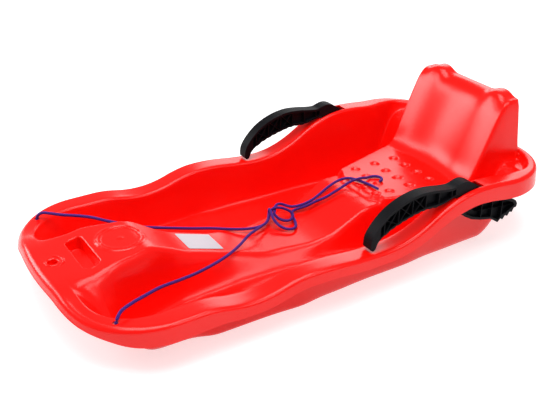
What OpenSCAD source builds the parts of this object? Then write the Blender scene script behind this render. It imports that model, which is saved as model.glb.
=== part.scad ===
// Moulded bob sled with a backrest, two hand brakes, a tow rope and a label.
// Front towards -Y, +X to the rider's left, +Z up, standing on z = 0.

/* [Overall size] */
// Length over the rim, front to rear
length = 876; // [730:2:1052]
// Width over the straight sides of the rim
width = 428; // [356:2:514]
// Wall thickness of the moulded hull
shell = 3; // [2.5:0.1:3.6]

/* [Rim] */
// Height of the rim at the front corners
rim_height = 82; // [76:1:98]
// Depth of the waves along the sides
rim_wave = 11; // [4:0.5:14]
// Rise of the rim from the sides to the rear
rim_rise = 54; // [45:1:65]
// Rise of the front rim towards its middle
front_arch = 16; // [4:1:20]
// Diameter of the two tow rope holes
rope_hole = 9; // [7.5:0.1:11]

/* [Seat and console] */
// Height of the seat above the ground
seat_height = 76; // [64:1:91]
// Height of the backrest above the seat
back_height = 146; // [122:1:176]
// Height of the console behind the front rim
console_height = 98; // [88:1:106]
// Length of the hand pocket across the sled
slot_length = 90; // [74:1:108]
// Width of the hand pocket
slot_width = 26; // [21:1:32]
// Diameter of the round recess ahead of the hand pocket
recess_diameter = 15; // [12:0.5:18]

/* [Brakes] */
// Width of the brake levers
lever_width = 20; // [16.5:0.5:24]
// Gap between a lever and each side of its slot and bearings
lever_gap = 1; // [0.8:0.1:1.2]
// Diameter of the brake axles
axle_diameter = 8; // [6.6:0.1:9.6]
// Height of the arch of the handles
handle_arch = 44; // [37:1:53]

/* [Rope and label] */
// Diameter of the tow rope
rope_diameter = 5; // [4:0.1:6]
// Length of the label along the sled
label_length = 62; // [52:1:74]
// Width of the label across the sled
label_width = 54; // [45:1:64]

/* [Hidden] */
$fn = 48;

// the surface formulas work in a plan of these sizes, which the driving sizes stretch
half_length = 438;
half_width = 214;
stretch_x = width / (2 * half_width);
stretch_y = length / (2 * half_length);
front_radius = 132;
rear_radius = 108;
edge_radius = 6;
rear_shoulder = 7;
front_shoulder = 12;

// steps of the surface along the front, half a corner and the side
front_steps = 5;
corner_steps = 5;
side_steps = 20;
half_front = front_steps + corner_steps;
half_side = 2 * corner_steps + side_steps;
half_ring = 2 * half_front + half_side;
ring_count = 2 * half_ring;

// interior rows, front to rear
row_y = [-360, -348, -334, -318, -298, -276, -254, -228, -200, -165, -130, -96, -60, -24, 10, 44,
    80, 108, 128, 141, 155, 176, 214, 254, 288, 310, 328, 346, 366, 388, 408];

// rim heights at the crests and troughs of the waves
rim_y = [-438, -266, -180, -72, 58, 250, 345, 438];
rim_z = [for (rise = [0, -1, -1 - rim_wave, 5, 6.5 - rim_wave, rim_rise, rim_rise - 6, rim_rise - 9]) rim_height + rise];

// height of the step at the front of the seat
seat_lip = 9;

// middle line of the console and apron, rounded over 12 mm each way
spine_line = [[-438, console_height], [-368, console_height], [-336, console_height + 8],
    [-268, console_height + 8], [-205, 70], [-130, 45], [-62, 28], [20, 28], [62, 35],
    [124, seat_height - seat_lip], [438, seat_height - seat_lip]];

// ---- formulas ----
// 0 to 1 with both ends rounded over the share r
function ramp(q, r) =
    let (c = min(1, max(0, q)))
    c < r ? c * c / (2 * r * (1 - r))
    : c > 1 - r ? 1 - (1 - c) * (1 - c) / (2 * r * (1 - r))
    : (c - r / 2) / (1 - r);
function total(v, i = 0) = i < len(v) ? v[i] + total(v, i + 1) : 0;
// smooth steps between stations, level at each
function stations(y, ys, vs, r = 0.5) =
    vs[0] + total([for (i = [0 : len(ys) - 2]) (vs[i + 1] - vs[i]) * ramp((y - ys[i]) / (ys[i + 1] - ys[i]), r)]);
// 1 at the middle of the front rim, 0 from its corners on
function nose(x, y) = ramp((175 - abs(x)) / 130, 0.5) * ramp((-y - 330) / 60, 0.5);
// how far the front rim falls back towards its corners
function fall_back(x) = 7 * ramp(abs(x) / 130, 0.5);

// rim
function rim_top(x, y) = stations(y, rim_y, rim_z) + front_arch * nose(x, y);
function skirt(y) = stations(y, [-430, -345, -300, -170, 60, 230, 330], [15.5, 30, 30, 20, 20, 27, 31]);
function bulge(y) = 4.5 * ramp(1 - abs(y + 40) / 110, 0.5);
function shoulder(y) = stations(y, [-438, -300], [front_shoulder, rear_shoulder]);
function flange(y) = stations(y, [-438, -290, 300, 438], [25, 37, 34, 13]);
function wall_run(y) = stations(y, [-438, -275, -215, -90, -20, 120, 200, 300, 438], [38, 22, 7, 7, 14, 15, 20, 22, 6]);
function wall_drop(t) = t < 0.45 ? t / 0.725 : 1 - (1 - t) * (1 - t) / 0.7975;

// interior
function floor_z(y) = shell + stations(y, [-400, -318, 300, 392], [70, 0, 0, 109], 0.35);
function spine_z(x, y) =
    total([for (k = [-4 : 4]) lookup(y + 3 * k, spine_line)]) / 9
    + seat_lip * ramp((y - 142 - 14 * ramp((abs(x) - 28) / 45, 0.5)) / 12, 0.4)
    + back_height * ramp((y - 304 - 10 * ramp(1 - abs(x) / 104, 0.5)) / 94, 0.3)
    + 9 * ramp(1 - abs(abs(x) - 76) / 34, 0.5) * ramp((y - 372) / 26, 0.5);
function flat_half(y) = lookup(y, [[-438, 66], [-345, 62], [-290, 50], [-230, 34], [-130, 32], [-40, 45], [20, 56],
    [120, 64], [155, 63], [300, 104], [345, 109], [412, 109]]);
function side_run(y) = lookup(y, [[-438, 50], [-345, 46], [-290, 42], [-130, 44], [20, 30], [120, 24], [155, 22],
    [300, 20], [345, 19], [438, 19]]);
function inside_z(x, y) =
    let (f = floor_z(y), c = max(f, spine_z(x, y)), s = 1 - ramp((abs(x) - flat_half(y)) / side_run(y), 0.35))
    f + (c - f) * s;

// rim outline on the +X side as [x, y, normal x, normal y], k from the front middle to the rear middle
function outline(k) =
    let (after = k - half_front - corner_steps)
    k < front_steps ? let (x = (half_width - front_radius) * k / front_steps) [x, fall_back(x) - half_length, 0, -1]
    : after < 0 ? let (a = 90 * (k - front_steps) / (2 * corner_steps), x = half_width - front_radius * (1 - sin(a)))
        [x, -half_length + front_radius * (1 - cos(a)) + fall_back(x) * cos(a), sin(a), -cos(a)]
    : after <= side_steps ? let (t = after / side_steps)
        [half_width, row_y[corner_steps + after]
            + (front_radius - half_length - row_y[corner_steps]) * (1 - t)
            + (half_length - rear_radius - row_y[corner_steps + side_steps]) * t, 1, 0]
    : k < half_ring - front_steps ? let (a = 90 * (after - side_steps) / (2 * corner_steps))
        [half_width - rear_radius * (1 - cos(a)), half_length - rear_radius * (1 - sin(a)), cos(a), sin(a)]
    : [(half_width - rear_radius) * (half_ring - k) / front_steps, half_length, 0, 1];
function rim_point(i) =
    i <= half_ring ? outline(i)
    : let (q = outline(ring_count - i)) [-q[0], q[1], -q[2], q[3]];

// profile across the rim as [kind, t]: 0 skirt, 1 shoulder, 2 flange, 3 inner edge, 4 wall
profile = [[0, 0], [0, 1], [1, 0.5], [1, 1], [2, 1], [3, 0.5], [3, 1], [4, 0.3], [4, 0.6], [4, 0.85], [4, 1]];
function profile_point(kind, t, q) =
    let (x = q[0], y = q[1], top = rim_top(x, y), r = shoulder(y), w = flange(y) - edge_radius + 2,
        dip = edge_radius * (1 - nose(x, y)),
        edge = w + edge_radius * sin(80), edge_z = top - dip * (1 - cos(80)),
        foot = edge + wall_run(y),
        inset = kind == 0 ? -1.5 * (1 - t)
            : kind == 1 ? r * (1 - cos(90 * t))
            : kind == 2 ? r + (w - r) * t
            : kind == 3 ? w + edge_radius * sin(80 * t)
            : edge + (foot - edge) * t,
        z = kind == 0 ? top - skirt(y) + (skirt(y) - r) * t
            : kind == 1 ? top - r + r * sin(90 * t)
            : kind == 2 ? top
            : kind == 3 ? top - dip * (1 - cos(80 * t))
            : edge_z + (inside_z(x - q[2] * foot, y - q[3] * foot) - edge_z) * wall_drop(t),
        out = bulge(y) * abs(q[2]) - inset)
    [x + q[2] * out, y + q[3] * out, z];

// interior patch, whose columns follow the edges of the console, seat and backrest
function bow(j) = 34 * pow(max(0, 1 - j / 5), 2) - 24 * pow(max(0, 1 - (half_side - j) / 5), 2);
function patch_x(k, y) =
    let (f = flat_half(y), s = side_run(y), a = abs(k),
        v = a <= 5 ? f * a / 5
            : a <= 8 ? f + s * [0.28, 0.6, 1][a - 6]
            : f + s + (max(132, f + s + 6) - f - s) * (a - 8) / 2)
    k < 0 ? -v : v;
function patch_point(k, j) =
    let (y = row_y[j] + bow(j) * pow(k / half_front, 2), x = patch_x(k, y))
    [x, y, inside_z(x, y)];
function border(i) =
    i > half_ring ? let (p = border(ring_count - i)) [-p[0], p[1], p[2]]
    : i <= half_front ? patch_point(i, 0)
    : i <= half_front + half_side ? patch_point(half_front, i - half_front)
    : patch_point(half_ring - i, half_side);

// grid of the upper surface: rows around the rim, then the patch
foot_column = len(profile) - 1;
floor_steps = 3;
columns = foot_column + 1 + floor_steps;
function ring_row(i) =
    let (p = [for (c = profile) profile_point(c[0], c[1], rim_point(i))], a = p[foot_column], b = border(i))
    concat(p, [for (m = [1 : floor_steps])
        let (x = a[0] + (b[0] - a[0]) * m / floor_steps, y = a[1] + (b[1] - a[1]) * m / floor_steps)
        [x, y, inside_z(x, y)]]);
ring_grid = [for (i = [0 : ring_count - 1]) ring_row(i)];
patch_columns = 2 * half_front - 1;
patch_grid = [for (j = [1 : half_side - 1]) [for (k = [1 - half_front : half_front - 1]) patch_point(k, j)]];
ring_size = ring_count * columns;
sheet_size = ring_size + patch_columns * (half_side - 1);

// the lower surface lies one wall thickness below, along the normals
function unit(v) = v / norm(v);
function field_normal(p) = unit([inside_z(p[0] - 1, p[1]) - inside_z(p[0] + 1, p[1]),
    inside_z(p[0], p[1] - 1) - inside_z(p[0], p[1] + 1), 2]);
function ring_normal(i, j) =
    j > foot_column ? field_normal(ring_grid[i][j])
    : unit(cross(ring_grid[(i + 1) % ring_count][j] - ring_grid[(i + ring_count - 1) % ring_count][j],
        ring_grid[i][j + 1] - ring_grid[i][max(0, j - 1)]));
function stretched(p) = [p[0] * stretch_x, p[1] * stretch_y, p[2]];
upper = concat([for (r = ring_grid) each r], [for (r = patch_grid) each r]);
normals = concat([for (i = [0 : ring_count - 1]) for (j = [0 : columns - 1]) ring_normal(i, j)],
    [for (r = patch_grid) for (p = r) field_normal(p)]);
shell_points = concat([for (p = upper) stretched(p)],
    [for (n = [0 : sheet_size - 1]) stretched(upper[n]) - shell * normals[n]]);

function ring_index(i, j) = ((i + ring_count) % ring_count) * columns + j;
function patch_index(k, j) =
    j == 0 ? ring_index(k, columns - 1)
    : j == half_side ? ring_index(half_ring - k, columns - 1)
    : k == half_front ? ring_index(half_front + j, columns - 1)
    : k == -half_front ? ring_index(-half_front - j, columns - 1)
    : ring_size + (j - 1) * patch_columns + k + half_front - 1;
function split(q) = [[q[0], q[2], q[1]], [q[0], q[3], q[2]]];
quads = concat(
    [for (i = [0 : ring_count - 1]) for (j = [0 : columns - 2])
        [ring_index(i, j), ring_index(i + 1, j), ring_index(i + 1, j + 1), ring_index(i, j + 1)]],
    [for (j = [0 : half_side - 1]) for (k = [-half_front : half_front - 1])
        [patch_index(k, j), patch_index(k + 1, j), patch_index(k + 1, j + 1), patch_index(k, j + 1)]]);
upper_faces = [for (q = quads) each split(q)];
lip_faces = [for (i = [0 : ring_count - 1]) each split([ring_index(i + 1, 0), ring_index(i, 0),
    ring_index(i, 0) + sheet_size, ring_index(i + 1, 0) + sheet_size])];
shell_faces = concat(upper_faces,
    [for (f = upper_faces) [f[2] + sheet_size, f[1] + sheet_size, f[0] + sheet_size]], lip_faces);

// ---- hull ----
slot_y = -361;
recess_y = -408;
recess_depth = 8;
hole_x = 169;
hole_y = -379;
slot_depth = 20;
collar_wall = 2.5;
corner_radius = 8;

// ---- brakes ----
lever_x = 195 * stretch_x;
axle_y = 226;
axle_z = rim_top(half_width, axle_y) - 15;
axle_at = [lever_x, axle_y * stretch_y, axle_z];
hub_radius = 14;
running_gap = 0.05;
bearing_reach = 4.2;
bearing_half = 12;
bearing_low = 11;
slot_front = 27 * max(1, stretch_y);
slot_rear = 32 * max(1, stretch_y);
web = 5;
rib = 1.2;
tip_y = 36;
tip_clear = 4;
arch = handle_arch / 44;

// [y, height] over a straight line from the rim under the tip to the rim over the axle
handle_top = [[29, 12], [31, 21], [37, 30 * arch], [50, 41 * arch], [66, 49 * arch], [86, 53 * arch],
    [108, 53 * arch], [130, 49 * arch], [154, 40 * arch], [176, 30 * arch], [192, 24], [203, 24], [213, 23],
    [224, 18], [236, 8], [248, -4]];
handle_low = [[29, 4], [33, 0], [38, 1], [43, 10], [54, 16 * arch], [70, 20 * arch], [93, 21 * arch],
    [116, 20 * arch], [136, 17 * arch], [156, 10 * arch], [172, 6], [190, 6], [201, 5]];
// [y, height] over the axle, from the neck round the claw to the hub
claw = [[26, 1], [25, -1], [40, -5], [60, -10], [82, -18], [102, -27], [114, -34], [118, -41], [117, -47],
    [111, -48], [108, -55], [102, -53], [98, -60], [92, -57], [87, -64], [82, -60], [76, -66], [58, -54],
    [32, -48], [12, -41], [-3, -32], [-13, -22], [-19, -10], [-19, 1]];
claw_pocket = [[-4, -26], [14, -37], [33, -44], [58, -50], [76, -61], [84, -54], [93, -52], [102, -47],
    [112, -42], [108, -36], [82, -23], [58, -15], [38, -10], [20, -12], [8, -20]];

function lever_line(y) =
    let (a = rim_top(half_width, tip_y) + tip_clear, b = rim_top(half_width, axle_y))
    a + (b - a) * (y - tip_y) / (axle_y - tip_y) - axle_z;
function from_axle(p) = [(p[0] - axle_y) * stretch_y, lever_line(p[0]) + p[1]];
// smooth curve through the points p, from first to last
function curve(p, steps) =
    concat([for (i = [0 : len(p) - 2]) for (s = [0 : steps - 1])
        let (a = p[max(0, i - 1)], b = p[i], c = p[i + 1], d = p[min(len(p) - 1, i + 2)], t = s / steps)
        0.5 * (2 * b + (c - a) * t + (2 * a - 5 * b + 4 * c - d) * t * t + (3 * b - a - 3 * c + d) * t * t * t)],
        [p[len(p) - 1]]);
function reversed(p) = [for (i = [len(p) - 1 : -1 : 0]) p[i]];
function grip(y) = y > 54 && y < 162 ? 1.6 * abs(sin(180 * (y - 54) / 12)) : 0;
lever_outline = concat(
    [for (p = curve(handle_top, 4)) from_axle(p)],
    claw,
    [for (p = reversed(curve(handle_low, 6))) from_axle(p - [0, grip(p[0])])]);

module side_view(thickness) {
    rotate([90, 0, 90]) linear_extrude(thickness, center = true) children();
}
module bar(a, b) {
    polygon([a - [rib / 2, 0], a + [rib / 2, 0], b + [rib / 2, 0], b - [rib / 2, 0]]);
}
module handle_pocket() {
    difference() {
        polygon(concat(
            [for (y = [47 : 6 : 197]) from_axle([y, lookup(y, handle_top) - 4.5])],
            [for (y = [197 : -6 : 47]) from_axle([y, lookup(y, handle_low) + 3])]));
        for (y = [54 : 27 : 189]) bar(from_axle([y, -6]), from_axle([y, 60 * arch]));
        for (y = [54 : 27 : 108]) {
            bar(from_axle([y, lookup(y, handle_low)]), from_axle([y + 27, lookup(y + 27, handle_top)]));
            bar(from_axle([y + 27, lookup(y + 27, handle_low)]), from_axle([y, lookup(y, handle_top)]));
        }
    }
}
module claw_pocket() {
    difference() {
        polygon(claw_pocket);
        circle(hub_radius);
        for (y = [34 : 24 : 82]) bar([y, -90], [y, 0]);
        bar([20, -28], [110, -40]);
    }
}
module brake_lever(side) {
    color("#18181c")
    translate([side * axle_at[0], axle_at[1], axle_at[2]])
    difference() {
        side_view(lever_width) polygon(lever_outline);
        for (face = [-1, 1]) {
            translate([face * (web + lever_width) / 2, 0, 0]) side_view(lever_width) {
                handle_pocket();
                claw_pocket();
            }
        }
        rotate([0, 90, 0]) cylinder(d = axle_diameter, h = lever_width + 2, center = true);
    }
}
module brake_axle(side) {
    color("silver")
    translate([side * axle_at[0], axle_at[1], axle_at[2]])
    rotate([0, 90, 0])
    cylinder(d = axle_diameter, h = lever_width + 2 * (lever_gap + bearing_reach - 0.2), center = true);
}

// bearing blocks under the rim, the inner one on the wall and the outer one on the skirt
module bearings(side) {
    inner = lever_x - lever_width / 2 - lever_gap;
    outer = lever_x + lever_width / 2 + lever_gap;
    wall = (half_width - 36) * stretch_x + 1.5;
    skirt_x = half_width * stretch_x - 1.4;
    translate([0, axle_at[1] + bearing_half, 0])
    rotate([90, 0, 0])
    linear_extrude(2 * bearing_half) {
        polygon([for (p = [[wall, 12], [inner, 12], [inner, -bearing_low], [wall - 3, -bearing_low]])
            [side * p[0], axle_z + p[1]]]);
        polygon([for (p = [[outer, 12], [skirt_x, 12], [skirt_x, -bearing_low], [outer, -bearing_low]])
            [side * p[0], axle_z + p[1]]]);
    }
}
module rounded_slot(size, radius, depth) {
    linear_extrude(depth, center = true) {
        square([size[0] - 2 * radius, size[1]], center = true);
        square([size[0], size[1] - 2 * radius], center = true);
        for (x = [-1, 1]) for (y = [-1, 1])
            translate([x * (size[0] / 2 - radius), y * (size[1] / 2 - radius)]) circle(radius);
    }
}
// block round the hand pocket, whose sloping top runs inside the wall of the console
module pocket_block(size, bottom) {
    reach = size[1] / 2;
    tops = [for (side = [-1, 1]) spine_z(0, slot_y + side * reach / stretch_y) - 0.6 * shell];
    translate([0, slot_y * stretch_y, 0])
    rotate([90, 0, 90])
    linear_extrude(size[0], center = true)
    polygon([[-reach, bottom], [reach, bottom], [reach, tops[1]], [-reach, tops[0]]]);
}
module hull() {
    slot_size = [slot_length, slot_width];
    slot_at = [0, slot_y * stretch_y, console_height - shell / 2];
    recess_at = [0, recess_y * stretch_y, console_height];
    color("red")
    difference() {
        union() {
            polyhedron(points = shell_points, faces = shell_faces);
            pocket_block(slot_size + 2 * [collar_wall, collar_wall], slot_at[2] - slot_depth - shell);
            translate(recess_at - [0, 0, recess_depth + shell])
            cylinder(d = recess_diameter + 2 * collar_wall, h = recess_depth + 0.6 * shell);
            for (side = [-1, 1]) bearings(side);
        }
        translate(slot_at) rounded_slot(slot_size, corner_radius, 2 * slot_depth);
        translate(recess_at - [0, 0, recess_depth]) cylinder(d = recess_diameter, h = 30);
        for (side = [-1, 1]) {
            translate([side * hole_x * stretch_x, hole_y * stretch_y, rim_height - 15]) cylinder(d = rope_hole, h = 30);
            translate([side * lever_x - lever_width / 2 - lever_gap, axle_at[1] - slot_front, axle_z + 4])
            cube([lever_width + 2 * lever_gap, slot_front + slot_rear, 40]);
            translate([side * lever_x, axle_at[1], axle_z])
            rotate([0, 90, 0])
            cylinder(d = axle_diameter + 2 * running_gap, h = lever_width + 2 * (lever_gap + bearing_reach), center = true);
        }
    }
}

// ---- label ----
label_y = -165;
label_thickness = 0.4;
label_lift = 0.5;
module label() {
    reach = label_length / 2;
    front = spine_z(0, label_y - reach);
    rear = spine_z(0, label_y + reach);
    color("whitesmoke")
    translate([0, label_y * stretch_y, max((front + rear) / 2, spine_z(0, label_y)) + label_lift])
    rotate([atan2(rear - front, 2 * reach * stretch_y), 0, 0])
    translate([-label_width / 2, -reach, 0])
    cube([label_width, label_length, label_thickness]);
}

// ---- rope ----
// route of the rope from the knot through both holes and back, and of its two tails
rope_route = [[-44, -3, 43], [-49, -20, 36], [-46, -50, 33], [-50, -84, 36], [-54, -116, 43], [-57, -148, 49], [-58, -182, 59],
    [-60, -218, 70], [-63, -246, 79], [-70, -270, 88], [-84, -290, 93], [-102, -306, 95], [-122, -324, 94],
    [-140, -344, 93], [-154, -360, 94], [-164, -370, 93], [-169, -377, 86], [-168, -380, 73], [-162, -386, 64],
    [-149, -395, 58], [-132, -403, 54], [-108, -410, 54], [-80, -416, 59], [-40, -421, 67], [0, -422, 71],
    [40, -421, 67], [80, -416, 59], [108, -410, 54], [132, -403, 54], [149, -395, 58], [162, -386, 64],
    [168, -380, 73], [169, -377, 85], [163, -367, 93], [150, -345, 91], [137, -319, 87], [120, -288, 80],
    [104, -252, 70], [88, -216, 61], [72, -176, 56], [54, -140, 52], [30, -106, 48], [2, -70, 43], [-22, -40, 36],
    [-34, -18, 36], [-33, -3, 43]];
tail_long_route = [[-40, 28, 44], [-38, 46, 42], [-33, 62, 46], [-30, 80, 53], [-32, 100, 61], [-31, 116, 70],
    [-28, 134, 78], [-24, 150, 80], [-12, 159, 80], [14, 168, 79.5], [40, 172, 79.5]];
tail_short_route = [[-31, 28, 44], [-27, 46, 43], [-24, 62, 47], [-20, 80, 54], [-13, 94, 60], [-9, 109, 68],
    [-5, 126, 77], [-2, 142, 85], [0, 159, 87], [-5, 180, 81], [-2, 196, 79.5]];
rope_sides = 8;

function tangent(p, i) = unit(p[min(len(p) - 1, i + 1)] - p[max(0, i - 1)]);
function across(t) = unit(cross(t, abs(t[2]) > 0.9 ? [1, 0, 0] : [0, 0, 1]));
module cord(route, steps) {
    p = [for (q = curve(route, steps)) [q[0] * stretch_x, q[1] * stretch_y, q[2]]];
    frames = frame_list(p, 0, across(tangent(p, 0)));
    rings = [for (i = [0 : len(p) - 1]) for (k = [0 : rope_sides - 1])
        let (u = frames[i], v = cross(tangent(p, i), u), a = 360 * k / rope_sides)
        p[i] + rope_diameter / 2 * (u * cos(a) + v * sin(a))];
    color("#3a2a9a")
    polyhedron(points = rings, faces = concat(
        [[for (k = [0 : rope_sides - 1]) k]],
        [for (i = [0 : len(p) - 2]) for (k = [0 : rope_sides - 1]) each
            let (a = i * rope_sides + k, b = i * rope_sides + (k + 1) % rope_sides)
            [[a, a + rope_sides, b + rope_sides], [a, b + rope_sides, b]]],
        [[for (k = [rope_sides - 1 : -1 : 0]) (len(p) - 1) * rope_sides + k]]));
}
// carries the first direction along the route without twist
function frame_list(p, i, u) =
    i == len(p) ? []
    : let (t = tangent(p, i), w = unit(u - t * (u * t))) concat([w], frame_list(p, i + 1, w));
knot_at = [-36, 12, 44];
knot_size = [15, 25, 12];
module rope_knot() {
    color("#3a2a9a")
    translate([knot_at[0] * stretch_x, knot_at[1] * stretch_y, knot_at[2]])
    intersection() {
        sphere(knot_size[1]);
        cube([2 * knot_size[0], 3 * knot_size[1], 2 * knot_size[2]], center = true);
    }
}

hull();
brake_lever(1);  // brake_lever_left
brake_lever(-1);  // brake_lever_right
brake_axle(1);  // brake_axle_left
brake_axle(-1);  // brake_axle_right
label();
cord(rope_route, 2);  // tow_rope
rope_knot();
cord(tail_long_route, 1);  // rope_tail_long
cord(tail_short_route, 1);  // rope_tail_short
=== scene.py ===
import bpy, math
import numpy as np
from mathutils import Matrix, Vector


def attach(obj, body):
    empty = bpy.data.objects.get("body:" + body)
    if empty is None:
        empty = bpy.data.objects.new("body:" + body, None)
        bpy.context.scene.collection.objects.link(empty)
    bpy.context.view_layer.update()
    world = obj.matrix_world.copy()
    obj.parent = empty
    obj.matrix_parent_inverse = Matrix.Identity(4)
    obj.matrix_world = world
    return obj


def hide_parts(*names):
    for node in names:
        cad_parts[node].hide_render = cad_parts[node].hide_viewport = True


# red moulded bob sled: hull, two hand brakes, blank label and a knotted tow rope
# shapes are worked out in millimetres and go into the meshes in metres

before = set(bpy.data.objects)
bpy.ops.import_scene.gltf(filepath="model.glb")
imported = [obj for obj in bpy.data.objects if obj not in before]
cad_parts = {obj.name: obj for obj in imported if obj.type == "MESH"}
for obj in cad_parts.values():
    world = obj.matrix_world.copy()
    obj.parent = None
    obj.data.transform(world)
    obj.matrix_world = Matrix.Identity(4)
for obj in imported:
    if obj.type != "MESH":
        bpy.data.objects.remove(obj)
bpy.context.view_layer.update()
print("frame loaded")

camera = {"place": (1.100, -0.697, 0.788), "turn": 58.35, "down": 28.7, "lens": 56.62}


def addCamera():
    data = bpy.data.cameras.new("sledCamera")
    data.lens, data.sensor_width = camera["lens"], 36
    data.clip_start, data.clip_end = 0.01, 30
    obj = bpy.data.objects.new("sledCamera", data)
    obj.location = camera["place"]
    obj.rotation_euler = (math.radians(90 - camera["down"]), 0, math.radians(camera["turn"]))
    bpy.context.scene.collection.objects.link(obj)
    bpy.context.scene.camera = obj


addCamera()
bpy.context.scene.view_settings.view_transform = "Standard"


# shared node groups and the small helpers they are built with
def newGroup(name, inputs, outputs):
    group = bpy.data.node_groups.new(name, "ShaderNodeTree")
    for label, kind, value in inputs:
        socket = group.interface.new_socket(label, in_out="INPUT", socket_type=kind)
        if value is not None:
            socket.default_value = value
    for label, kind in outputs:
        group.interface.new_socket(label, in_out="OUTPUT", socket_type=kind)
    return group, group.nodes.new("NodeGroupInput"), group.nodes.new("NodeGroupOutput")


def link(tree, a, b):
    tree.links.new(a, b)


def mathNode(tree, operation, a, b=None, clamp=False):
    node = tree.nodes.new("ShaderNodeMath")
    node.operation, node.use_clamp = operation, clamp
    for socket, value in zip(node.inputs, (a, b)):
        if value is None:
            continue
        if isinstance(value, (int, float)):
            socket.default_value = value
        else:
            link(tree, value, socket)
    return node.outputs[0]


def noiseNode(tree, vector, scale, detail=3.0, rough=0.5):
    node = tree.nodes.new("ShaderNodeTexNoise")
    node.inputs["Detail"].default_value = detail
    node.inputs["Roughness"].default_value = rough
    link(tree, vector, node.inputs["Vector"])
    if isinstance(scale, (int, float)):
        node.inputs["Scale"].default_value = scale
    else:
        link(tree, scale, node.inputs["Scale"])
    return node.outputs["Fac"]


# grain: a fine moulded texture height plus slow waves, for any plastic
def mouldGrain():
    group, gin, gout = newGroup("mouldGrain", [
        ("Vector", "NodeSocketVector", None), ("Grain Scale", "NodeSocketFloat", 900.0),
        ("Grain", "NodeSocketFloat", 0.3), ("Wave Scale", "NodeSocketFloat", 9.0),
        ("Wave", "NodeSocketFloat", 0.6),
    ], [("Height", "NodeSocketFloat")])
    fine = noiseNode(group, gin.outputs["Vector"], gin.outputs["Grain Scale"], 2.0)
    slow = noiseNode(group, gin.outputs["Vector"], gin.outputs["Wave Scale"], 2.0)
    height = mathNode(group, "ADD", mathNode(group, "MULTIPLY", fine, gin.outputs["Grain"]),
        mathNode(group, "MULTIPLY", slow, gin.outputs["Wave"]))
    link(group, height, gout.inputs["Height"])
    return group


# tone: a slow change between two colours, and a haze mask of handling marks and thin scratches
def handledTone():
    group, gin, gout = newGroup("handledTone", [
        ("Vector", "NodeSocketVector", None), ("Colour", "NodeSocketColor", (0.5, 0.5, 0.5, 1)),
        ("Second Colour", "NodeSocketColor", (0.4, 0.4, 0.4, 1)), ("Scale", "NodeSocketFloat", 6.0),
        ("Roughness", "NodeSocketFloat", 0.3), ("Haze", "NodeSocketFloat", 0.1),
    ], [("Colour", "NodeSocketColor"), ("Roughness", "NodeSocketFloat")])
    slow = noiseNode(group, gin.outputs["Vector"], gin.outputs["Scale"], 4.0)
    mix = group.nodes.new("ShaderNodeMix")
    mix.data_type = "RGBA"
    link(group, slow, mix.inputs["Factor"])
    link(group, gin.outputs["Colour"], mix.inputs["A"])
    link(group, gin.outputs["Second Colour"], mix.inputs["B"])
    link(group, mix.outputs["Result"], gout.inputs["Colour"])
    stretch = group.nodes.new("ShaderNodeMapping")
    stretch.inputs["Scale"].default_value = (60, 4, 60)
    link(group, gin.outputs["Vector"], stretch.inputs["Vector"])
    lines = noiseNode(group, stretch.outputs["Vector"], 6.0, 5.0, 0.7)
    marks = mathNode(group, "POWER", lines, 4.0, True)
    rough = mathNode(group, "ADD", gin.outputs["Roughness"],
        mathNode(group, "MULTIPLY", mathNode(group, "ADD", marks, slow), gin.outputs["Haze"]), True)
    link(group, rough, gout.inputs["Roughness"])
    return group


grainGroup, toneGroup = mouldGrain(), handledTone()

plastics = {
    "hullRed": {"colour": (0.86, 0.004, 0.001), "second": (0.80, 0.002, 0.001), "rough": 0.20, "haze": 0.05,
        "grain": 0.05, "grainScale": 700, "wave": 0.5, "waveScale": 14, "bump": 0.12, "shine": 0.34},
    "leverBlack": {"colour": (0.003, 0.003, 0.004), "second": (0.005, 0.005, 0.007), "rough": 0.46,
        "haze": 0.10, "grain": 0.8, "grainScale": 1500, "wave": 0.1, "waveScale": 30, "bump": 0.10,
        "shine": 0.08},
    "labelWhite": {"colour": (0.50, 0.47, 0.51), "second": (0.40, 0.38, 0.43), "rough": 0.30, "haze": 0.08,
        "grain": 0.2, "grainScale": 900, "wave": 0.8, "waveScale": 60, "bump": 0.12, "shine": 0.3},
}


def plasticMaterial(name):
    look = plastics[name]
    material = bpy.data.materials.new(name)
    material.use_nodes = True
    tree = material.node_tree
    shader = tree.nodes["Principled BSDF"]
    place = tree.nodes.new("ShaderNodeTexCoord").outputs["Object"]
    tone = tree.nodes.new("ShaderNodeGroup")
    tone.node_tree = toneGroup
    tone.inputs["Colour"].default_value = (*look["colour"], 1)
    tone.inputs["Second Colour"].default_value = (*look["second"], 1)
    tone.inputs["Roughness"].default_value = look["rough"]
    tone.inputs["Haze"].default_value = look["haze"]
    grain = tree.nodes.new("ShaderNodeGroup")
    grain.node_tree = grainGroup
    grain.inputs["Grain Scale"].default_value = look["grainScale"]
    grain.inputs["Grain"].default_value = look["grain"]
    grain.inputs["Wave Scale"].default_value = look["waveScale"]
    grain.inputs["Wave"].default_value = look["wave"]
    bump = tree.nodes.new("ShaderNodeBump")
    bump.inputs["Strength"].default_value = look["bump"]
    bump.inputs["Distance"].default_value = 0.002
    for group in (tone, grain):
        link(tree, place, group.inputs["Vector"])
    link(tree, tone.outputs["Colour"], shader.inputs["Base Color"])
    link(tree, tone.outputs["Roughness"], shader.inputs["Roughness"])
    link(tree, grain.outputs["Height"], bump.inputs["Height"])
    link(tree, bump.outputs["Normal"], shader.inputs["Normal"])
    shader.inputs["Specular IOR Level"].default_value = look["shine"]
    shader.inputs["IOR"].default_value = 1.5
    return material


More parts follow.
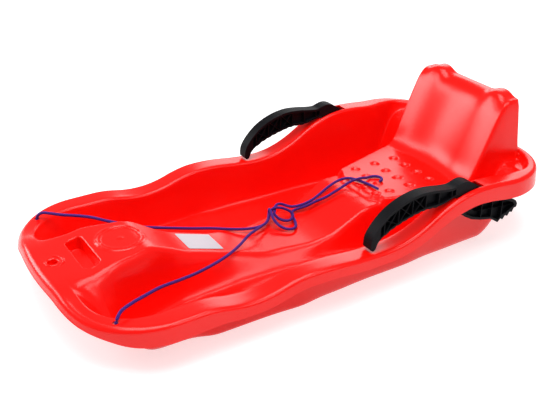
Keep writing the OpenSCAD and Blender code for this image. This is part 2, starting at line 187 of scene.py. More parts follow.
# drawn steel: fine lines along X from a stretched noise
def steelMaterial():
    material = bpy.data.materials.new("axleSteel")
    material.use_nodes = True
    tree = material.node_tree
    shader = tree.nodes["Principled BSDF"]
    place = tree.nodes.new("ShaderNodeTexCoord").outputs["Object"]
    turn = tree.nodes.new("ShaderNodeMapping")
    turn.inputs["Scale"].default_value = (8, 900, 900)
    link(tree, place, turn.inputs["Vector"])
    lines = noiseNode(tree, turn.outputs["Vector"], 1.0, 4.0)
    rough = mathNode(tree, "ADD", mathNode(tree, "MULTIPLY", lines, 0.25), 0.18)
    ramp = tree.nodes.new("ShaderNodeValToRGB")
    ramp.color_ramp.elements[0].color = (0.42, 0.42, 0.43, 1)
    ramp.color_ramp.elements[1].color = (0.66, 0.66, 0.67, 1)
    link(tree, lines, ramp.inputs["Fac"])
    link(tree, ramp.outputs["Color"], shader.inputs["Base Color"])
    link(tree, rough, shader.inputs["Roughness"])
    shader.inputs["Metallic"].default_value = 1.0
    return material


# rope: two sets of slanting strands from the tube's own map, u along it and v round it
def ropeMaterial():
    material = bpy.data.materials.new("ropeViolet")
    material.use_nodes = True
    tree = material.node_tree
    shader = tree.nodes["Principled BSDF"]
    uv = tree.nodes.new("ShaderNodeUVMap")
    uv.uv_map = "along"
    split = tree.nodes.new("ShaderNodeSeparateXYZ")
    link(tree, uv.outputs["UV"], split.inputs[0])
    along = mathNode(tree, "MULTIPLY", split.outputs["X"], rope["strandsAlong"] * 2 * math.pi)
    turning = mathNode(tree, "MULTIPLY", split.outputs["Y"], 6 * 2 * math.pi)
    one = mathNode(tree, "SINE", mathNode(tree, "ADD", along, turning))
    two = mathNode(tree, "SINE", mathNode(tree, "SUBTRACT", along, turning))
    weave = mathNode(tree, "MAXIMUM", one, two)
    fibre = noiseNode(tree, tree.nodes.new("ShaderNodeTexCoord").outputs["Object"], 2600.0, 3.0)
    ramp = tree.nodes.new("ShaderNodeValToRGB")
    ramp.color_ramp.elements[0].color = (*rope["dark"], 1)
    ramp.color_ramp.elements[1].color = (*rope["light"], 1)
    strands = mathNode(tree, "MULTIPLY", weave, 0.35)
    level = mathNode(tree, "ADD", strands, mathNode(tree, "MULTIPLY", fibre, 0.6))
    link(tree, level, ramp.inputs["Fac"])
    link(tree, ramp.outputs["Color"], shader.inputs["Base Color"])
    bump = tree.nodes.new("ShaderNodeBump")
    bump.inputs["Strength"].default_value = 0.8
    bump.inputs["Distance"].default_value = 0.0004
    link(tree, mathNode(tree, "ADD", weave, fibre), bump.inputs["Height"])
    link(tree, bump.outputs["Normal"], shader.inputs["Normal"])
    shader.inputs["Roughness"].default_value = 0.62
    shader.inputs["Specular IOR Level"].default_value = 0.2
    shader.inputs["Sheen Weight"].default_value = 0.05
    shader.inputs["Sheen Roughness"].default_value = 0.4
    return material


# a named mesh from points in millimetres, riding on a body
def addPiece(name, points, faces, material, body="hull", smooth=True):
    mesh = bpy.data.meshes.new(name)
    mesh.from_pydata(np.asarray(points) / 1000, [], faces if isinstance(faces, list) else faces.tolist())
    mesh.polygons.foreach_set("use_smooth", np.full(len(mesh.polygons), smooth))
    mesh.update()
    obj = bpy.data.objects.new(name, mesh)
    bpy.context.scene.collection.objects.link(obj)
    if material is not None:
        mesh.materials.append(material)
    if body:
        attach(obj, body)
    return obj


# quads of a grid of rows by columns, either way closed on itself or open
def gridFaces(rows, columns, closeRows=False, closeColumns=False):
    r = np.arange(rows if closeRows else rows - 1)[:, None]
    c = np.arange(columns if closeColumns else columns - 1)[None, :]
    a = r * columns + c
    b = ((r + 1) % rows) * columns + c
    d = r * columns + (c + 1) % columns
    e = ((r + 1) % rows) * columns + (c + 1) % columns
    return np.stack([a, b, e, d], -1).reshape(-1, 4)


# tow rope: the points it passes, in order from the left hole
rope = {
    "diameter": 5.0, "strandsAlong": 210.0, "dark": (0.024, 0.003, 0.085), "light": (0.085, 0.014, 0.30),
    "exit": (169, -377, 85),
    # from the left hole over the console to the knot
    "nearRun": [(163, -367, 93), (150, -345, 91), (137, -319, 87), (120, -288, 80), (104, -252, 70),
        (88, -216, 61), (72, -176, 56), (54, -140, 52), (31, -106, 48), (9, -77, 46), (-4, -56, 43),
        (-15, -38, 40)],
    # over the far strand, down through the middle, then round the back of the knot
    "nearKnot": [(-24, -22, 38), (-34, -10, 41), (-41, -5, 46), (-40, 3, 52), (-34, 12, 54), (-30, 22, 50),
        (-26, 31, 43), (-18, 31, 38), (-12, 22, 36), (-15, 11, 36), (-23, 3, 39), (-32, -2, 46),
        (-42, 5, 51), (-50, 16, 52), (-54, 27, 48), (-49, 35, 44), (-42, 41, 43)],
    "longTail": [(-37, 50, 44), (-33, 62, 47), (-30, 80, 53), (-32, 100, 61), (-31, 116, 70),
        (-28, 134, 78), (-24, 150, 80), (-12, 159, 80), (14, 168, 79.5), (40, 172, 79.5)],
    # from the left hole down under the front rim to the right hole
    "underRim": [(168, -379, 75), (163, -384, 68), (154, -391, 65), (143, -397, 65), (126, -405, 68),
        (104, -411, 72), (78, -416, 77), (40, -421, 83), (0, -422, 85), (-40, -421, 83), (-78, -416, 77),
        (-104, -411, 72), (-126, -405, 68), (-143, -397, 65), (-154, -391, 65), (-163, -384, 68),
        (-168, -379, 75), (-169, -377, 86)],
    "farRun": [(-164, -370, 93), (-154, -360, 94), (-140, -344, 93), (-122, -324, 94), (-102, -306, 95),
        (-84, -290, 93), (-70, -270, 88), (-63, -246, 79), (-60, -218, 70), (-58, -182, 59),
        (-56, -148, 49), (-49, -116, 43), (-38, -90, 39), (-28, -68, 37), (-24, -48, 35), (-25, -30, 34)],
    # turns up at the left, sweeps wide towards the right rim and comes back under
    "farKnot": [(-33, -14, 34), (-46, -4, 36), (-53, 1, 42), (-47, -1, 49), (-34, -6, 50), (-21, -10, 45),
        (-9, -9, 39), (3, -4, 35), (12, 5, 34), (10, 17, 33), (-2, 25, 33), (-17, 30, 36), (-29, 33, 39),
        (-37, 43, 38)],
    "shortTail": [(-33, 53, 42), (-26, 63, 46), (-20, 80, 54), (-13, 94, 60), (-9, 109, 68), (-5, 126, 77),
        (-2, 142, 85), (0, 159, 87), (-5, 179, 81), (-7, 189, 79.5), (-3, 199, 79.5), (6, 203, 79.5),
        (14, 199, 79.5), (17, 191, 79.5)],
}


# smooth line through the points: each stretch is the cubic whose ends run along the neighbours' chord
def smoothLine(points, step):
    p = np.asarray(points, float)
    q = np.vstack([2 * p[0] - p[1], p, 2 * p[-1] - p[-2]])
    t = np.linspace(0, 1, 24, endpoint=False)[None, :, None]
    a, b, c, d = (q[k:len(q) - 3 + k, None] for k in range(4))
    line = 0.5 * (2 * b + (c - a) * t + (2 * a - 5 * b + 4 * c - d) * t**2 + (3 * b - a - 3 * c + d) * t**3)
    return evenly(np.vstack([line.reshape(-1, 3), p[-1:]]), step)


# the same line with points a fixed step apart
def evenly(line, step):
    run = np.concatenate([[0], np.cumsum(np.linalg.norm(np.diff(line, axis=0), axis=1))])
    s = np.linspace(0, run[-1], max(2, int(round(run[-1] / step)) + 1))
    return np.stack([np.interp(s, run, line[:, k]) for k in range(3)], 1)


# strands closer than a diameter push each other apart, stay over the hull, and are smoothed a little each round
def settle(lines, rounds=160):
    size = [len(l) for l in lines]
    p = np.vstack(lines)
    home = p.copy()
    free = (p[:, 1] > -150) & (p[:, 1] < 175)
    which = np.repeat(np.arange(len(lines)), size)
    number = np.arange(len(p))
    gap = rope["diameter"] * 1.06
    near = (which[:, None] != which[None, :]) | (np.abs(number[:, None] - number[None, :]) > 7)
    near &= free[:, None] & free[None, :]
    for _ in range(rounds):
        d = p[:, None] - p[None, :]
        far = np.linalg.norm(d, axis=2) + 1e-6
        push = np.where(near & (far < gap), (gap - far) / far, 0)[:, :, None] * d
        count = np.maximum(1, (near & (far < gap)).sum(1))[:, None]
        move = 0.7 * push.sum(1) / count
        for k in range(len(lines)):
            i = number[which == k][1:-1]
            move[i] += 0.10 * (0.5 * (p[i - 1] + p[i + 1]) - p[i])
        p = p + np.where(free[:, None], move + 0.01 * (home - p), 0)
        low = insideHeight(p[:, 0], p[:, 1]) + rope["diameter"] / 2 + 0.5
        p[:, 2] = np.where(free, np.maximum(p[:, 2], low), p[:, 2])
    return np.split(p, np.cumsum(size)[:-1])


# tube: p(s) + R(s, a) (U cos a + V sin a), R = r (0.90 + 0.10 max |cos(3a +- w s)|), its ends rounded off
def ropeTube(name, line, material):
    r, sides = rope["diameter"] / 2, 18
    p = evenly(line, 1.1)
    t = np.gradient(p, axis=0)
    t /= np.linalg.norm(t, axis=1)[:, None]
    u = np.empty_like(p)
    u[0] = np.cross(t[0], [0.2, 0.1, 1.0])
    for k in range(1, len(p)):  # carries the first direction along without twist
        u[k] = u[k - 1] - t[k] * (u[k - 1] @ t[k])
        u[k] /= np.linalg.norm(u[k])
    u[0] /= np.linalg.norm(u[0])
    v = np.cross(t, u)
    s = np.arange(len(p)) * 1.1
    a = np.linspace(0, 2 * np.pi, sides, endpoint=False)
    w = 2 * np.pi / 9.5
    turned = w * s[:, None]
    weave = np.maximum(np.abs(np.cos(3 * a[None] + turned)), np.abs(np.cos(3 * a[None] - turned)))
    end = np.minimum(s, s[-1] - s)
    shrink = np.sqrt(np.clip(1 - (1 - np.clip(end / 2.2, 0, 1)) ** 2, 0.02, 1))
    radius = r * (0.90 + 0.10 * weave) * shrink[:, None]
    around = u[:, None] * np.cos(a)[None, :, None] + v[:, None] * np.sin(a)[None, :, None]
    rings = p[:, None] + radius[:, :, None] * around
    faces = gridFaces(len(p), sides, closeColumns=True)[:, ::-1].tolist()
    faces += [list(range(sides))[::-1], [(len(p) - 1) * sides + k for k in range(sides)]]
    obj = addPiece(name, rings.reshape(-1, 3), faces, material)
    layer = obj.data.uv_layers.new(name="along")
    index = np.empty(len(obj.data.loops), int)
    obj.data.loops.foreach_get("vertex_index", index)
    v0 = (index % sides) / sides
    loops = np.stack([s[index // sides] / 1000, v0], 1)
    quads = loops[:4 * (len(p) - 1) * sides].reshape(-1, 4, 2)
    wrap = (quads[:, :, 1].max(1) > 0.9) & (quads[:, :, 1].min(1) < 0.1)
    quads[:, :, 1] += (wrap[:, None] & (quads[:, :, 1] < 0.1))
    layer.data.foreach_set("uv", loops.ravel())
    return obj, p


# hull surface
hull = {
    "halfLength": 438, "halfWidth": 214, "shell": 3, "frontRadius": 132, "rearRadius": 108, "edgeRadius": 6,
    "frontShoulder": 12, "rearShoulder": 7, "fallBack": 7, "bulge": 4.5, "frontArch": 16,
    "rimHeight": 82, "rimWave": 11, "rimRise": 54, "seatHeight": 76, "seatLip": 9, "backHeight": 146,
    "hornHeight": 9, "consoleHeight": 98, "discRise": 8, "holeAt": (169, -379), "holeWidth": 9,
    # rows of the inside, front to rear, and how finely each is cut
    "rowY": [-360, -348, -334, -318, -298, -276, -254, -228, -200, -165, -130, -96, -60, -24, 10, 44,
        80, 108, 128, 141, 155, 176, 214, 254, 288, 310, 328, 346, 366, 388, 408],
    "rowCuts": [6, 6, 9, 9, 9, 9, 4, 4, 4, 5, 5, 4, 4, 4, 4, 4, 4, 5, 6, 8, 11, 17, 17, 14, 7, 5, 4, 4, 4, 4],
    "columnCuts": [10, 10, 10, 10, 10, 4, 4, 4, 4, 4],
}
rimY = [-438, -266, -180, -72, 58, 250, 345, 438]
rimZ = [hull["rimHeight"] + v for v in (0, -1, -1 - hull["rimWave"], 5, 6.5 - hull["rimWave"], hull["rimRise"],
    hull["rimRise"] - 6, hull["rimRise"] - 9)]
spineY = [-438, -368, -336, -268, -205, -130, -62, 20, 62, 124, 438]
spineZ = [hull["consoleHeight"]] * 2 + [hull["consoleHeight"] + hull["discRise"]] * 2 + [70, 45, 28, 28, 35]
spineZ += [hull["seatHeight"] - hull["seatLip"]] * 2


# 0 to 1 with both ends rounded over the share r
def ramp(q, r):
    c = np.clip(q, 0, 1)
    k = 2 * r * (1 - r)
    return np.where(c < r, c * c / k, np.where(c > 1 - r, 1 - (1 - c) ** 2 / k, (c - r / 2) / (1 - r)))


# steps between stations, level at each
def stations(y, ys, vs, r=0.5):
    steps = ((vs[i + 1] - vs[i]) * ramp((y - ys[i]) / (ys[i + 1] - ys[i]), r) for i in range(len(ys) - 1))
    return vs[0] + sum(steps)


def nose(x, y):
    return ramp((175 - abs(x)) / 130, 0.5) * ramp((-y - 330) / 60, 0.5)


def rimTop(x, y):
    return stations(y, rimY, rimZ) + hull["frontArch"] * nose(x, y)


def skirt(y):
    return stations(y, [-430, -345, -300, -170, 60, 230, 330], [15.5, 30, 30, 20, 20, 27, 31])


def flatHalf(y):
    return np.interp(y, [-438, -345, -290, -230, -130, -40, 20, 120, 155, 300, 345, 412],
        [66, 62, 50, 34, 32, 45, 56, 64, 63, 104, 109, 109])


def sideRun(y):
    return np.interp(y, [-438, -345, -290, -130, 20, 120, 155, 300, 345, 438],
        [50, 46, 42, 44, 30, 24, 22, 20, 19, 19])


def floorHeight(y):
    return hull["shell"] + stations(y, [-400, -318, 300, 392], [70, 0, 0, 109], 0.35)


# console, apron, seat and backrest along the middle
def spineHeight(x, y):
    z = sum(np.interp(y + 3 * k, spineY, spineZ) for k in range(-4, 5)) / 9
    z = z + hull["seatLip"] * ramp((y - 142 - 14 * ramp((abs(x) - 28) / 45, 0.5)) / 12, 0.4)
    z = z + hull["backHeight"] * ramp((y - 304 - 10 * ramp(1 - abs(x) / 104, 0.5)) / 94, 0.3)
    return z + hull["hornHeight"] * ramp(1 - abs(abs(x) - 76) / 34, 0.5) * ramp((y - 372) / 26, 0.5)


# height of the inside: the floor, raised to the middle form within its edges
def insideHeight(x, y):
    floor = floorHeight(y)
    top = np.maximum(floor, spineHeight(x, y))
    return floor + (top - floor) * (1 - ramp((abs(x) - flatHalf(y)) / sideRun(y), 0.35))


# round dents, raised rings and pips moulded into the inside, as a height to add
relief = {
    "dents": [(x, y) for y in (188, 233, 278) for x in (-51, -17, 17, 51)] + [(17, 161), (46, 162)],
    "dentRadius": 9.2, "dentDepth": 3.4, "dentLip": 0.3,
    "discAt": (0, -299), "rings": [(37, 1.8, 2.2), (31, 1.1, 1.5), (0, 1.3, 3.5)],
    "pips": [(side * (104 + 12 * k), -330 + 5 * k, 2.6, 1.2) for side in (-1, 1) for k in range(3)],
    "rearDents": [(-125, 400, 7, 2.0), (125, 400, 7, 2.0)],
}


def bell(d, width):
    return np.exp(-(d / width) ** 2)


def reliefHeight(x, y):
    z = np.zeros_like(x)
    r = relief["dentRadius"]
    for cx, cy in relief["dents"]:
        d = np.hypot(x - cx, y - cy)
        bowl = relief["dentDepth"] * (1 - ramp((d - 0.62 * r) / (0.38 * r), 0.4))
        z -= bowl - relief["dentLip"] * bell(d - r - 0.8, 1.3)
    d = np.hypot(x - relief["discAt"][0], y - relief["discAt"][1])
    for radius, height, width in relief["rings"]:
        z += height * bell(d - radius, width)
    for cx, cy, width, height in relief["pips"]:
        z += height * bell(np.hypot(x - cx, y - cy), width)
    for cx, cy, width, depth in relief["rearDents"]:
        z -= depth * bell(np.hypot(x - cx, y - cy), width)
    return z


# rim outline for k from the front middle (0) round the +X side to the rear middle (50)
def outline(k):
    long, wide, fr, rr = hull["halfLength"], hull["halfWidth"], hull["frontRadius"], hull["rearRadius"]
    rows = np.array(hull["rowY"], float)
    after = np.clip(k - 15, 0, 20)
    fall = lambda x: hull["fallBack"] * ramp(abs(x) / 130, 0.5)
    a = np.radians(np.clip(k - 5, 0, 10) * 9)
    b = np.radians(np.clip(k - 35, 0, 10) * 9)
    xFront = np.where(k < 5, (wide - fr) * k / 5, wide - fr * (1 - np.sin(a)))
    yFront = -long + fr * (1 - np.cos(a)) + fall(xFront) * np.cos(a)
    t = after / 20
    ySide = np.interp(5 + after, np.arange(31), rows)
    ySide = ySide + (fr - long - rows[5]) * (1 - t) + (long - rr - rows[25]) * t
    xRear = np.where(k > 45, (wide - rr) * (50 - k) / 5, wide - rr * (1 - np.cos(b)))
    yRear = long - rr * (1 - np.sin(b))
    front, rear = k < 15, k > 35
    x = np.where(front, xFront, np.where(rear, xRear, wide))
    y = np.where(front, yFront, np.where(rear, yRear, ySide))
    nx = np.where(front, np.sin(a), np.where(rear, np.cos(b), 1.0))
    ny = np.where(front, -np.cos(a), np.where(rear, np.sin(b), 0.0))
    return x, y, nx, ny


# profile from the skirt's lip over the shoulder, flange, inner edge and wall to the wall's foot
def profile():
    parts = [(0, np.linspace(0, 1, 4)), (1, np.linspace(0, 1, 7)[1:]), (2, np.linspace(0, 1, 5)[1:]),
        (3, np.linspace(0, 1, 6)[1:]), (4, np.linspace(0, 1, 9)[1:])]
    return np.concatenate([np.full(len(t), kind) for kind, t in parts]), np.concatenate([t for _, t in parts])


# how far the wall leans in from the rim's inner edge to its foot
def wallRun(y):
    return stations(y, [-438, -275, -215, -90, -20, 120, 200, 300, 438], [38, 22, 7, 7, 14, 15, 20, 22, 6])


def profilePoint(kind, t, q):
    x, y, nx, ny = (v[:, None] for v in q)
    kind, t = kind[None], t[None]
    top, sk = rimTop(x, y), skirt(y)
    er = hull["edgeRadius"]
    r = stations(y, [-438, -300], [hull["frontShoulder"], hull["rearShoulder"]])
    w = stations(y, [-438, -290, 300, 438], [25, 37, 34, 13]) - er + 2
    edge = w + er * np.sin(np.radians(80))
    dip = er * (1 - nose(x, y))
    edgeZ = top - dip * (1 - np.cos(np.radians(80)))
    foot = edge + wallRun(y)
    drop = np.where(t < 0.45, t / 0.725, 1 - (1 - t) ** 2 / 0.7975)
    inset = np.select([kind == 0, kind == 1, kind == 2, kind == 3],
        [-1.5 * (1 - t), r * (1 - np.cos(np.pi / 2 * t)), r + (w - r) * t, w + er * np.sin(np.radians(80 * t))],
        edge + (foot - edge) * t)
    footZ = insideHeight(x - nx * foot, y - ny * foot)
    z = np.select([kind == 0, kind == 1, kind == 2, kind == 3],
        [top - sk + (sk - r) * t, top - r + r * np.sin(np.pi / 2 * t), top + 0 * t,
            top - dip * (1 - np.cos(np.radians(80 * t)))], edgeZ + (footZ - edgeZ) * drop)
    out = hull["bulge"] * ramp(1 - abs(y + 40) / 110, 0.5) * abs(nx) - inset
    return np.stack([x + nx * out, y + ny * out, z], -1)


# inside patch: column a from 0 to 10 follows the edges of console and seat, row j from 0 to 30
def patchPoint(a, j):
    bow = 34 * np.maximum(0, 1 - j / 5) ** 2 - 24 * np.maximum(0, 1 - (30 - j) / 5) ** 2
    y = np.interp(j, np.arange(31), hull["rowY"]) + bow * (a / 10) ** 2
    f, s, m = flatHalf(y), sideRun(y), abs(a)
    outer = np.maximum(132, f + s + 6)
    x = np.where(m <= 5, f * m / 5, np.where(m <= 8, f + s * np.interp(m - 5, [0, 1, 2, 3], [0, 0.28, 0.6, 1]),
        f + s + (outer - f - s) * (m - 8) / 2))
    x = np.sign(a) * x
    return np.stack([x, y, insideHeight(x, y)], -1)


def cutSteps(cuts):
    return np.concatenate([[0]] + [i + np.arange(1, n + 1) / n for i, n in enumerate(cuts)])


# rows all round the rim, joined to the patch's border; the under side lies one wall below, along the normals
def hullSheet():
    a, j = cutSteps(hull["columnCuts"]), cutSteps(hull["rowCuts"])
    na, nj = len(a) - 1, len(j) - 1
    half = np.concatenate([a[:-1], 10 + j[:-1], 50 - a[::-1]])
    kk = np.concatenate([half, half[-2:0:-1]])
    side = np.concatenate([np.ones(len(half)), -np.ones(len(half) - 2)])
    x, y, nx, ny = outline(kk)
    kind, t = profile()
    rim = profilePoint(kind, t, (x, y, nx, ny))
    patch = patchPoint(np.concatenate([-a[::-1], a[1:]])[None], j[:, None])
    border = np.concatenate([patch[0, na:], patch[1:-1, -1], patch[-1, :na - 1:-1]])
    border = np.concatenate([border, border[-2:0:-1]])
    m = np.linspace(0, 1, 7)[1:, None, None]
    foot = rim[:, -1]
    rest = foot[None, :, :2] + (border[None, :, :2] - foot[None, :, :2]) * m
    rest = np.concatenate([rest, insideHeight(rest[..., 0], rest[..., 1])[..., None]], -1)
    ring = np.concatenate([rim, np.moveaxis(rest, 0, 1)], 1)
    ring[..., 0] *= side[:, None]
    rings, cols = ring.shape[:2]
    # normals: across the grid on the rim, from the height's slope inside
    du = np.roll(ring, -1, 0) - np.roll(ring, 1, 0)
    dv = np.gradient(ring, axis=1)
    ringNormal = np.cross(du, dv)
    ringNormal /= np.linalg.norm(ringNormal, axis=-1, keepdims=True)
    inside = np.arange(cols) >= len(kind)
    ringNormal[:, inside] = slopeNormal(ring[:, inside])
    inner = patch[1:-1, 1:-1]
    top = np.concatenate([ring.reshape(-1, 3), inner.reshape(-1, 3)])
    normal = np.concatenate([ringNormal.reshape(-1, 3), slopeNormal(inner).reshape(-1, 3)])
    flat = np.concatenate([np.tile(np.arange(cols) >= len(kind) - 3, rings), np.ones(inner[..., 0].size, bool)])
    top[:, 2] += np.where(flat, reliefHeight(top[:, 0], top[:, 1]), 0)
    under = top - hull["shell"] * normal
    # numbers of the patch's points, its border taken from the ring's last column
    table = np.empty((nj + 1, 2 * na + 1), int)
    table[1:-1, 1:-1] = rings * cols + np.arange(inner.shape[0] * inner.shape[1]).reshape(inner.shape[:2])
    last = lambda i: (i % rings) * cols + cols - 1
    k = np.arange(-na, na + 1)
    table[0], table[-1] = last(k), last(2 * na + nj - k)
    rows = np.arange(1, nj)
    table[1:-1, -1], table[1:-1, 0] = last(na + rows), last(-na - rows)
    q = np.stack([table[:-1, :-1], table[:-1, 1:], table[1:, 1:], table[1:, :-1]], -1).reshape(-1, 4)
    upper = np.concatenate([gridFaces(rings, cols, closeRows=True), q])
    first = np.arange(rings) * cols
    nextOne = np.roll(first, -1)
    n = len(top)
    lip = np.stack([nextOne, first, first + n, nextOne + n], -1)
    return np.concatenate([top, under]), np.concatenate([upper, upper[:, ::-1] + n, lip])


def slopeNormal(p):
    x, y = p[..., 0], p[..., 1]
    across = insideHeight(x - 1, y) - insideHeight(x + 1, y)
    along = insideHeight(x, y - 1) - insideHeight(x, y + 1)
    g = np.stack([across, along, np.full_like(x, 2.0)], -1)
    return g / np.linalg.norm(g, axis=-1, keepdims=True)


# openings cut through the hull
slot = {"length": 90, "width": 26, "radius": 8, "y": -361, "depth": 20, "wall": 2.5, "bottom": 3}
recess = {"radius": 7.5, "y": -408, "depth": 8, "wall": 2.5, "crescentGap": 9.0, "crescent": 2.6, "sunk": 0.6}
brake = {"x": 195, "y": 226, "width": 20, "gap": 1, "front": 27, "rear": 32, "drop": 15, "half": 12, "low": 11,
    "pocketDepth": 11, "pocketCorner": 1.5, "wallAt": 34.5, "skirtAt": 1.4, "soft": 0.0008}


# rounded oblong: corner centres plus r (cos a, sin a)
def oblong(length, width, r, count=12):
    a = np.linspace(0, np.pi / 2, count)
    corners = [(1, 1, 0), (-1, 1, 1), (-1, -1, 2), (1, -1, 3)]
    return np.concatenate([np.stack([sx * (length / 2 - r) + r * np.cos(a + q * np.pi / 2),
        sy * (width / 2 - r) + r * np.sin(a + q * np.pi / 2)], -1) for sx, sy, q in corners])


def prism(loop, low, high):
    n = len(loop)
    points = np.concatenate([np.c_[loop, np.full(n, low)], np.c_[loop, np.full(n, high)]])
    faces = gridFaces(2, n, closeColumns=True)[:, ::-1].tolist()
    return points, faces + [list(range(n))[::-1], list(range(n, 2 * n))]


def cutHull(obj):
    cuts = [prism(oblong(slot["length"] + 4, slot["width"] + 4, slot["radius"] + 2) + [0, slot["y"]], 60, 130)]
    circle = lambda r, at: np.stack([at[0] + r * np.cos(turn), at[1] + r * np.sin(turn)], -1)
    turn = np.linspace(0, 2 * np.pi, 40, endpoint=False)
    cuts.append(prism(circle(recess["radius"] + 1.6, (0, recess["y"])), 70, 120))
    z = float(rimTop(hull["halfWidth"], brake["y"]))
    for side in (-1, 1):
        hx, hy = hull["holeAt"]
        cuts.append(prism(circle(hull["holeWidth"] / 2, (side * hx, hy)), 60, 105))
        half = brake["width"] / 2 + brake["gap"]
        loop = oblong(2 * half, brake["front"] + brake["rear"], brake["pocketCorner"], 4)
        middle = [side * brake["x"], brake["y"] + (brake["rear"] - brake["front"]) / 2]
        cuts.append(prism(loop + middle, z - brake["pocketDepth"], z + 30))
    points, faces, count = [], [], 0
    for p, f in cuts:
        points.append(p)
        faces += [[v + count for v in face] for face in f]
        count += len(p)
    cutter = addPiece("cutter", np.concatenate(points), faces, None, body=None, smooth=False)
    tool = obj.modifiers.new("cut", "BOOLEAN")
    tool.object, tool.operation, tool.solver = cutter, "DIFFERENCE", "MANIFOLD"
    mesh = bpy.data.meshes.new_from_object(obj.evaluated_get(bpy.context.evaluated_depsgraph_get()))
    obj.modifiers.remove(tool)
    old, obj.data = obj.data, mesh
    bpy.data.meshes.remove(old)
    bpy.data.objects.remove(cutter)
    mesh.polygons.foreach_set("use_smooth", np.ones(len(mesh.polygons), bool))
    mesh.set_sharp_from_angle(angle=math.radians(38))
    mesh.name = "hullShell"


# cup: a loop in plan with outward normals, and a profile of (out, height, follows the surface) round it,
# which runs from the inner bottom over the lip to the outer bottom
def cupPiece(name, loop, centre, section, material):
    d = np.roll(loop, -1, 0) - np.roll(loop, 1, 0)
    n = np.stack([d[:, 1], -d[:, 0]], -1) / np.linalg.norm(d, axis=1)[:, None]
    out, z, share = np.array(section, float).T
    xy = loop[:, None] + n[:, None] * out[None, :, None] + centre
    top = deckHeight(xy[..., 0], xy[..., 1])
    level = deckHeight(np.array(centre[0], float), np.array(centre[1], float))
    height = z[None] + top * share[None] + level * (1 - share[None])
    points = np.concatenate([xy, height[..., None]], -1)
    n, m = len(loop), len(section)
    faces = gridFaces(n, m, closeRows=True)[:, ::-1].tolist()
    faces += [[k * m for k in range(n)], [k * m + m - 1 for k in range(n)][::-1]]
    obj = addPiece(name, points.reshape(-1, 3), faces, material)
    obj.data.set_sharp_from_angle(angle=math.radians(45))
    return obj


# height of the front deck over a point, on the flange ahead of the console or on the console
def deckHeight(x, y):
    return insideHeight(x, np.maximum(y, -375.0))


hullRed, leverBlack, labelWhite = (plasticMaterial(n) for n in ("hullRed", "leverBlack", "labelWhite"))
axleSteel, ropeViolet = steelMaterial(), ropeMaterial()
print("materials made")

nearPoints = rope["nearRun"] + rope["nearKnot"] + rope["longTail"]
wholeLine = smoothLine(nearPoints[::-1] + [rope["exit"]] + rope["underRim"] + rope["farRun"] + rope["farKnot"]
    + rope["shortTail"], 2.0)
cut = int(np.argmin(np.linalg.norm(wholeLine - rope["exit"], axis=1)))
nearLine, farLine = settle([wholeLine[:cut + 1][::-1], wholeLine[cut:]])
nearRope, nearPath = ropeTube("ropeNear", nearLine, ropeViolet)
farRope, farPath = ropeTube("ropeFar", farLine, ropeViolet)


def lineLength(p):
    return float(np.linalg.norm(np.diff(p, axis=0), axis=1).sum()) / 1000


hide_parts("rope_tail_long", "rope_knot")
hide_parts("tow_rope", "rope_tail_short")
print("rope laid", round(lineLength(nearPath), 3), round(lineLength(farPath), 3))

points, faces = hullSheet()
hullShell = addPiece("hullShell", points, faces, hullRed)
cutHull(hullShell)
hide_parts("hull")
print("hull made", sum(len(p.vertices) - 2 for p in hullShell.data.polygons), "triangles")

# each ring of a cup: distance out from its loop, height, 1 to follow the deck or 0 to lie level
slotFloor = -slot["depth"]
slotLoop = oblong(slot["length"], slot["width"], slot["radius"], 10)
cupPiece("handPocket", slotLoop, np.array([0, slot["y"]]), [(-3.5, slotFloor, 0), (-1.2, slotFloor + 0.8, 0),
    (-0.2, slotFloor + 3.2, 0), (0, -2.6, 1), (0.5, -0.9, 1), (1.5, 0.0, 1), (2.8, 0.15, 1), (3.4, -0.2, 1),
    (3.4, -3.0, 1), (slot["wall"], -4.2, 1), (slot["wall"], slotFloor - slot["bottom"], 0)], hullRed)
turn = np.linspace(0, 2 * np.pi, 48, endpoint=False)
recessLoop = recess["radius"] * np.stack([np.cos(turn), np.sin(turn)], -1)
cupPiece("recessCup", recessLoop, np.array([0, recess["y"]]), [(0, -recess["depth"], 1), (0, -1.4, 1),
    (0.4, -0.2, 1), (1.2, 0.5, 1), (2.4, 1.0, 1), (3.6, 1.0, 1), (4.6, 0.5, 1), (5.2, -0.4, 1), (5.2, -1.6, 1),
    (recess["wall"], -2.2, 1), (recess["wall"], -recess["depth"] - 2, 1)], hullRed)


# raised crescent behind the recess: a half round whose height fades to nothing at its tips
def crescent():
    a = np.radians(np.linspace(15, 165, 40))[:, None]
    b = np.radians(np.linspace(0, 180, 9))[None]
    fade = np.sqrt(np.clip(np.sin((a - a[0]) / (a[-1] - a[0]) * np.pi), 0, 1))
    radius = recess["radius"] + recess["crescentGap"] + recess["crescent"] * fade * np.cos(b)
    x, y = radius * np.cos(a), recess["y"] + radius * np.sin(a)
    z = deckHeight(x, y) - recess["sunk"] + recess["crescent"] * fade * np.sin(b)
    points = np.stack([x, y, z + 0 * x], -1)
    return points.reshape(-1, 3), gridFaces(40, 9, closeColumns=True)


points, faces = crescent()
addPiece("recessCrescent", points, faces, hullRed)


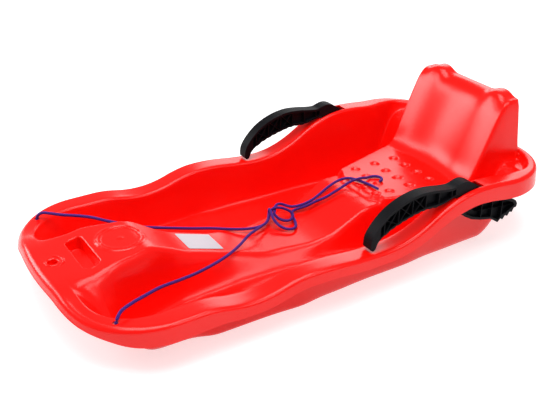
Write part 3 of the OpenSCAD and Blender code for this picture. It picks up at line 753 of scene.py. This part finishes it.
# bearing blocks under the rim, one on the wall and one on the skirt on each side
def bearingBlocks():
    z = float(rimTop(hull["halfWidth"], brake["y"])) - brake["drop"]
    reach, low, high = brake["width"] // 2 + brake["gap"], -brake["low"], brake["half"]
    inner, outer = brake["x"] - reach, brake["x"] + reach
    wall, skirtX = hull["halfWidth"] - brake["wallAt"], hull["halfWidth"] - brake["skirtAt"]
    shapes = [[(wall, high), (inner, high), (inner, low), (wall - hull["shell"], low)],
        [(outer, high), (skirtX, high), (skirtX, low), (outer, low)]]
    points, faces = [], []
    for side in (-1, 1):
        for shape in shapes:
            p, f = prism(np.array(shape, float)[::side * -1], -brake["half"], brake["half"])
            faces += [[v + 8 * len(points) for v in face][::-1 * side] for face in f]
            points.append(np.stack([side * p[:, 0], brake["y"] + p[:, 2], z + p[:, 1]], -1))
    obj = addPiece("bearingBlocks", np.concatenate(points), faces, hullRed, smooth=False)
    bevel = obj.modifiers.new("softEdges", "BEVEL")
    bevel.width, bevel.segments = brake["soft"], 2
    return obj


bearingBlocks()
print("collars and bearings made")

label = {"length": 62, "width": 54, "y": -165, "thick": 0.4, "lift": 0.5, "corner": 2.5}


# rounded sheet over the console: height = spine + lift, a little lower at its edges
def labelSheet():
    a = oblong(label["width"], label["length"], label["corner"], 6)
    rings = [a * s for s in np.linspace(0.02, 1, 10)]
    xy = np.stack(rings)
    front, rear = (float(spineHeight(0, label["y"] + k * label["length"] / 2)) for k in (-1, 1))
    middle = max((front + rear) / 2, float(spineHeight(0, label["y"]))) + label["lift"]
    top = middle + (rear - front) / label["length"] * xy[..., 1] + label["thick"]
    up = np.concatenate([xy + [0, label["y"]], top[..., None]], -1)
    down = up[::-1] - [0, 0, label["thick"]]
    points = np.concatenate([up, down])
    n = len(a)
    faces = gridFaces(len(points), n, closeColumns=True).tolist()
    return points.reshape(-1, 3), faces + [list(range(n)), [(len(points) - 1) * n + k for k in range(n)][::-1]]


points, faces = labelSheet()
labelPiece = addPiece("labelSheet", points, faces, labelWhite)
labelPiece.data.set_sharp_from_angle(angle=math.radians(40))
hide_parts("label")

# levers and axles keep their CAD shape and get a finish
for name, material in (("brake_lever_left", leverBlack), ("brake_lever_right", leverBlack),
        ("brake_axle_left", axleSteel), ("brake_axle_right", axleSteel)):
    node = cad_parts[name]
    node.data.materials.clear()
    node.data.materials.append(material)
print("levers finished")

# floor, world and softboxes: name, place, aim, width, height, power
studio = {"floor": 0.55, "glow": 0.62, "world": 1.0, "worldStrength": 0.30,
    "softboxes": [("overhead", (0.3, -0.2, 2.2), (0, 0, 0.1), 1.8, 1.8, 55),
        ("windowLeft", (-1.58, -1.08, 0.86), (-0.06, 0.37, 0.19), 0.9, 0.6, 13),
        ("windowFront", (-0.9, -1.6, 1.3), (0.08, -0.43, 0.09), 0.9, 0.5, 10),
        ("windowRight", (1.9, 0.9, 1.9), (0, 0, 0.1), 1.0, 0.8, 12),
        ("cardRear", (-1.62, 1.62, 1.02), (0, 0.2, 0.08), 1.7, 1.1, 14)]}


def addFloor():
    mesh = bpy.data.meshes.new("studioFloor")
    z = -0.0004  # a hair under the hull, so that the two faces don't flicker
    mesh.from_pydata([(-30, -30, z), (30, -30, z), (30, 30, z), (-30, 30, z)], [], [(0, 1, 2, 3)])
    obj = bpy.data.objects.new("studioFloor", mesh)
    bpy.context.scene.collection.objects.link(obj)
    material = bpy.data.materials.new("studioPaper")
    material.use_nodes = True
    shader = material.node_tree.nodes["Principled BSDF"]
    shader.inputs["Base Color"].default_value = (studio["floor"],) * 3 + (1,)
    shader.inputs["Roughness"].default_value = 0.9
    shader.inputs["Emission Color"].default_value = (1, 1, 1, 1)
    shader.inputs["Emission Strength"].default_value = studio["glow"]
    mesh.materials.append(material)


def addLights():
    world = bpy.data.worlds.new("studioWorld")
    world.use_nodes = True
    back = world.node_tree.nodes["Background"]
    back.inputs["Color"].default_value = (studio["world"],) * 3 + (1,)
    path = world.node_tree.nodes.new("ShaderNodeLightPath")
    lift = mathNode(world.node_tree, "MULTIPLY", path.outputs["Is Camera Ray"], 1.0 - studio["worldStrength"])
    strength = mathNode(world.node_tree, "ADD", lift, studio["worldStrength"])
    link(world.node_tree, strength, back.inputs["Strength"])
    bpy.context.scene.world = world
    for name, place, aim, width, height, power in studio["softboxes"]:
        data = bpy.data.lights.new(name, "AREA")
        data.shape, data.size, data.size_y, data.energy = "RECTANGLE", width, height, power
        obj = bpy.data.objects.new(name, data)
        obj.location = place
        obj.rotation_euler = (Vector(aim) - Vector(place)).to_track_quat("-Z", "Y").to_euler()
        bpy.context.scene.collection.objects.link(obj)


addFloor()
addLights()
print("studio set")
